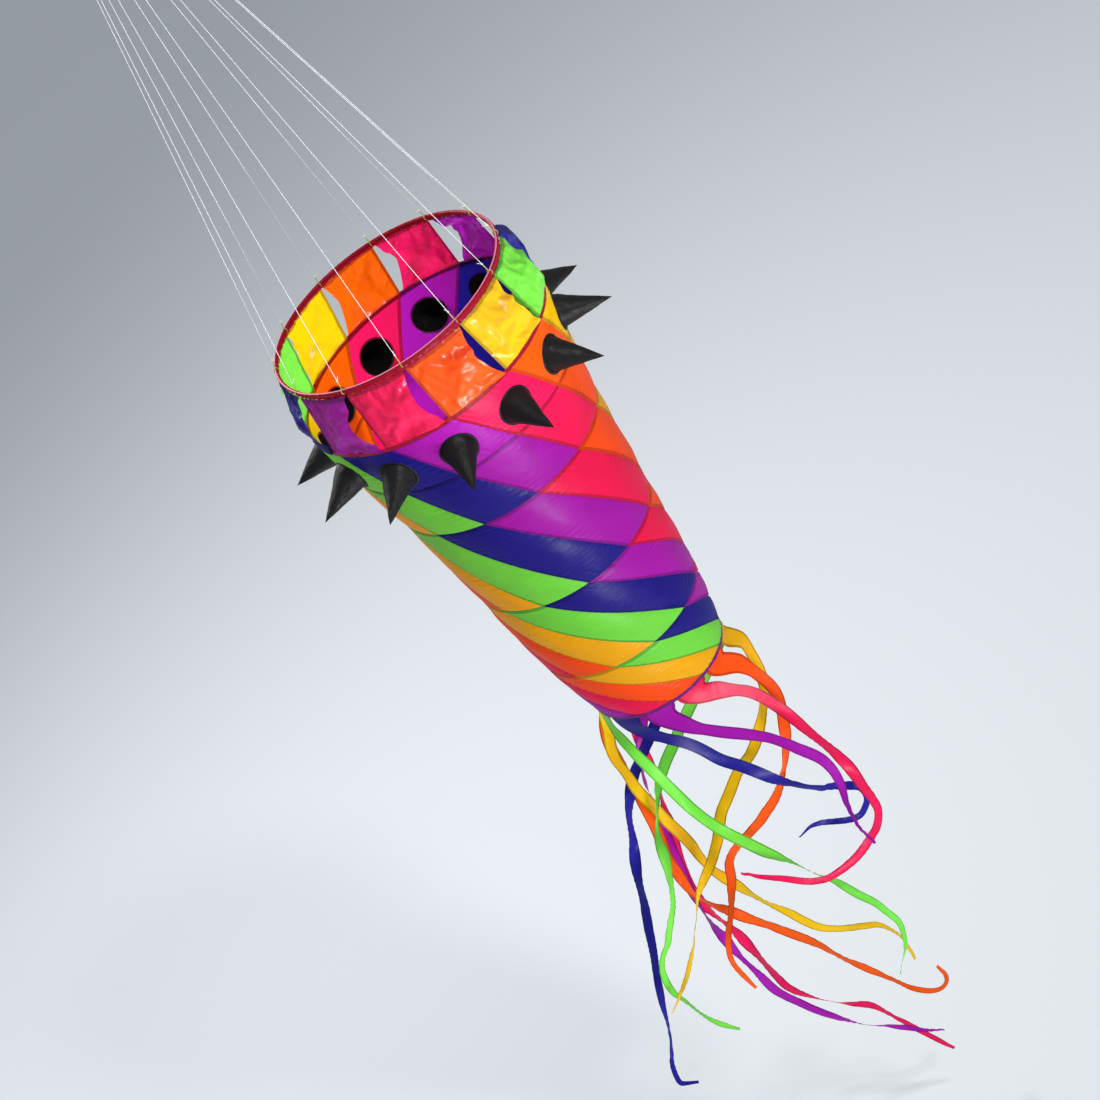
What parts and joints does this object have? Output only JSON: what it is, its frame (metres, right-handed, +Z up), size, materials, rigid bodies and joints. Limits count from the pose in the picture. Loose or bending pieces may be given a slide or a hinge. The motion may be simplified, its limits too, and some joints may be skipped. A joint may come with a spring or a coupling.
{
  "type": "spinning windsock kite",
  "caption": "Rainbow spinning windsock on a bridle and swivel: stiff mouth hoop, slotted vents, spiral-gored tapering tube, black cone spikes and trailing ribbons.",
  "frame": {"origin": "centre of the line eye's bore, where the flying line clips on", "axes": "+Z up the spin axis from the tail to the line eye; +Y along the line eye's bore; the windsock hangs below the eye"},
  "size_m": [1.443, 1.2214, 6.1043],
  "materials": {
    "cloth_green": "glossy ripstop nylon, translucent",
    "cloth_yellow": "glossy ripstop nylon, translucent",
    "cloth_orange": "glossy ripstop nylon, translucent",
    "cloth_pink": "glossy ripstop nylon, translucent",
    "cloth_purple": "glossy ripstop nylon, translucent",
    "cloth_blue": "glossy ripstop nylon, translucent",
    "cloth_black": "black ripstop nylon",
    "cloth_crimson": "doubled crimson ripstop",
    "cord_white": "braided line",
    "cord_green": "braided loop cord",
    "steel": "stainless steel",
    "barrel": "turned steel",
    "rod": "fibreglass rod"
  },
  "bodies": {
    "line_eye": {"line_eye": "steel"},
    "swivel": {"swivel_barrel": "barrel", "bearing_races": "steel", "bearing_balls": "steel", "swivel_cap": "steel"},
    "windsock": {"bridle_ring": "steel", "bridle_leg_1": "cord_white", "bridle_leg_2": "cord_white", "bridle_leg_3": "cord_white", "bridle_leg_4": "cord_white", "bridle_leg_5": "cord_white", "bridle_leg_6": "cord_white", "bridle_leg_7": "cord_white", "bridle_leg_8": "cord_white", "bridle_leg_9": "cord_white", "bridle_leg_10": "cord_white", "bridle_leg_11": "cord_white", "bridle_leg_12": "cord_white", "tie_loops": "cord_green", "hoop_rod": "rod", "hoop_ferrule": "steel", "hoop_sleeve": "cloth_crimson", "vents_green": "cloth_green", "vents_yellow": "cloth_yellow", "vents_orange": "cloth_orange", "vents_pink": "cloth_pink", "vents_purple": "cloth_purple", "vents_blue": "cloth_blue", "collar_hem": "cloth_crimson", "panels_green": "cloth_green", "panels_yellow": "cloth_yellow", "panels_orange": "cloth_orange", "panels_pink": "cloth_pink", "panels_purple": "cloth_purple", "panels_blue": "cloth_blue", "trailing_hem": "cloth_purple", "spike_1": "cloth_black", "spike_2": "cloth_black", "spike_3": "cloth_black", "spike_4": "cloth_black", "spike_5": "cloth_black", "spike_6": "cloth_black", "spike_7": "cloth_black", "spike_8": "cloth_black", "spike_9": "cloth_black", "spike_10": "cloth_black", "spike_11": "cloth_black", "spike_12": "cloth_black"},
    "ribbon_1": {"ribbon_1": "cloth_purple"},
    "ribbon_2": {"ribbon_2": "cloth_pink"},
    "ribbon_3": {"ribbon_3": "cloth_orange"},
    "ribbon_4": {"ribbon_4": "cloth_yellow"},
    "ribbon_5": {"ribbon_5": "cloth_green"},
    "ribbon_6": {"ribbon_6": "cloth_blue"},
    "ribbon_7": {"ribbon_7": "cloth_purple"},
    "ribbon_8": {"ribbon_8": "cloth_pink"},
    "ribbon_9": {"ribbon_9": "cloth_orange"},
    "ribbon_10": {"ribbon_10": "cloth_yellow"},
    "ribbon_11": {"ribbon_11": "cloth_green"},
    "ribbon_12": {"ribbon_12": "cloth_blue"}
  },
  "joints": [
    {"name": "swivel_spin", "type": "hinge", "parent": "line_eye", "child": "swivel", "pos_m": [0, 0, -0.03], "axis": [0, 0, 1], "continuous": true},
    {"name": "bridle_tilt", "type": "hinge", "parent": "swivel", "child": "windsock", "pos_m": [0, 0, -0.0611], "axis": [1, 0, 0], "range_deg": [-60, 60]},
    {"name": "ribbon_1_sway", "type": "hinge", "parent": "windsock", "child": "ribbon_1", "pos_m": [-0.0896, -0.2334, -3.6811], "axis": [0, 1, 0], "range_deg": [-12, 12]},
    {"name": "ribbon_2_sway", "type": "hinge", "parent": "windsock", "child": "ribbon_2", "pos_m": [0.0391, -0.2469, -3.6811], "axis": [0, 1, 0], "range_deg": [-12, 12]},
    {"name": "ribbon_3_sway", "type": "hinge", "parent": "windsock", "child": "ribbon_3", "pos_m": [0.1573, -0.1943, -3.6811], "axis": [0, 1, 0], "range_deg": [-12, 12]},
    {"name": "ribbon_4_sway", "type": "hinge", "parent": "windsock", "child": "ribbon_4", "pos_m": [0.2334, -0.0896, -3.6811], "axis": [0, 1, 0], "range_deg": [-12, 12]},
    {"name": "ribbon_5_sway", "type": "hinge", "parent": "windsock", "child": "ribbon_5", "pos_m": [0.2469, 0.0391, -3.6811], "axis": [0, 1, 0], "range_deg": [-12, 12]},
    {"name": "ribbon_6_sway", "type": "hinge", "parent": "windsock", "child": "ribbon_6", "pos_m": [0.1943, 0.1573, -3.6811], "axis": [0, 1, 0], "range_deg": [-12, 12]},
    {"name": "ribbon_7_sway", "type": "hinge", "parent": "windsock", "child": "ribbon_7", "pos_m": [0.0896, 0.2334, -3.6811], "axis": [0, 1, 0], "range_deg": [-12, 12]},
    {"name": "ribbon_8_sway", "type": "hinge", "parent": "windsock", "child": "ribbon_8", "pos_m": [-0.0391, 0.2469, -3.6811], "axis": [0, 1, 0], "range_deg": [-12, 12]},
    {"name": "ribbon_9_sway", "type": "hinge", "parent": "windsock", "child": "ribbon_9", "pos_m": [-0.1573, 0.1943, -3.6811], "axis": [0, 1, 0], "range_deg": [-12, 12]},
    {"name": "ribbon_10_sway", "type": "hinge", "parent": "windsock", "child": "ribbon_10", "pos_m": [-0.2334, 0.0896, -3.6811], "axis": [0, 1, 0], "range_deg": [-12, 12]},
    {"name": "ribbon_11_sway", "type": "hinge", "parent": "windsock", "child": "ribbon_11", "pos_m": [-0.2469, -0.0391, -3.6811], "axis": [0, 1, 0], "range_deg": [-12, 12]},
    {"name": "ribbon_12_sway", "type": "hinge", "parent": "windsock", "child": "ribbon_12", "pos_m": [-0.1943, -0.1573, -3.6811], "axis": [0, 1, 0], "range_deg": [-12, 12]}
  ]
}
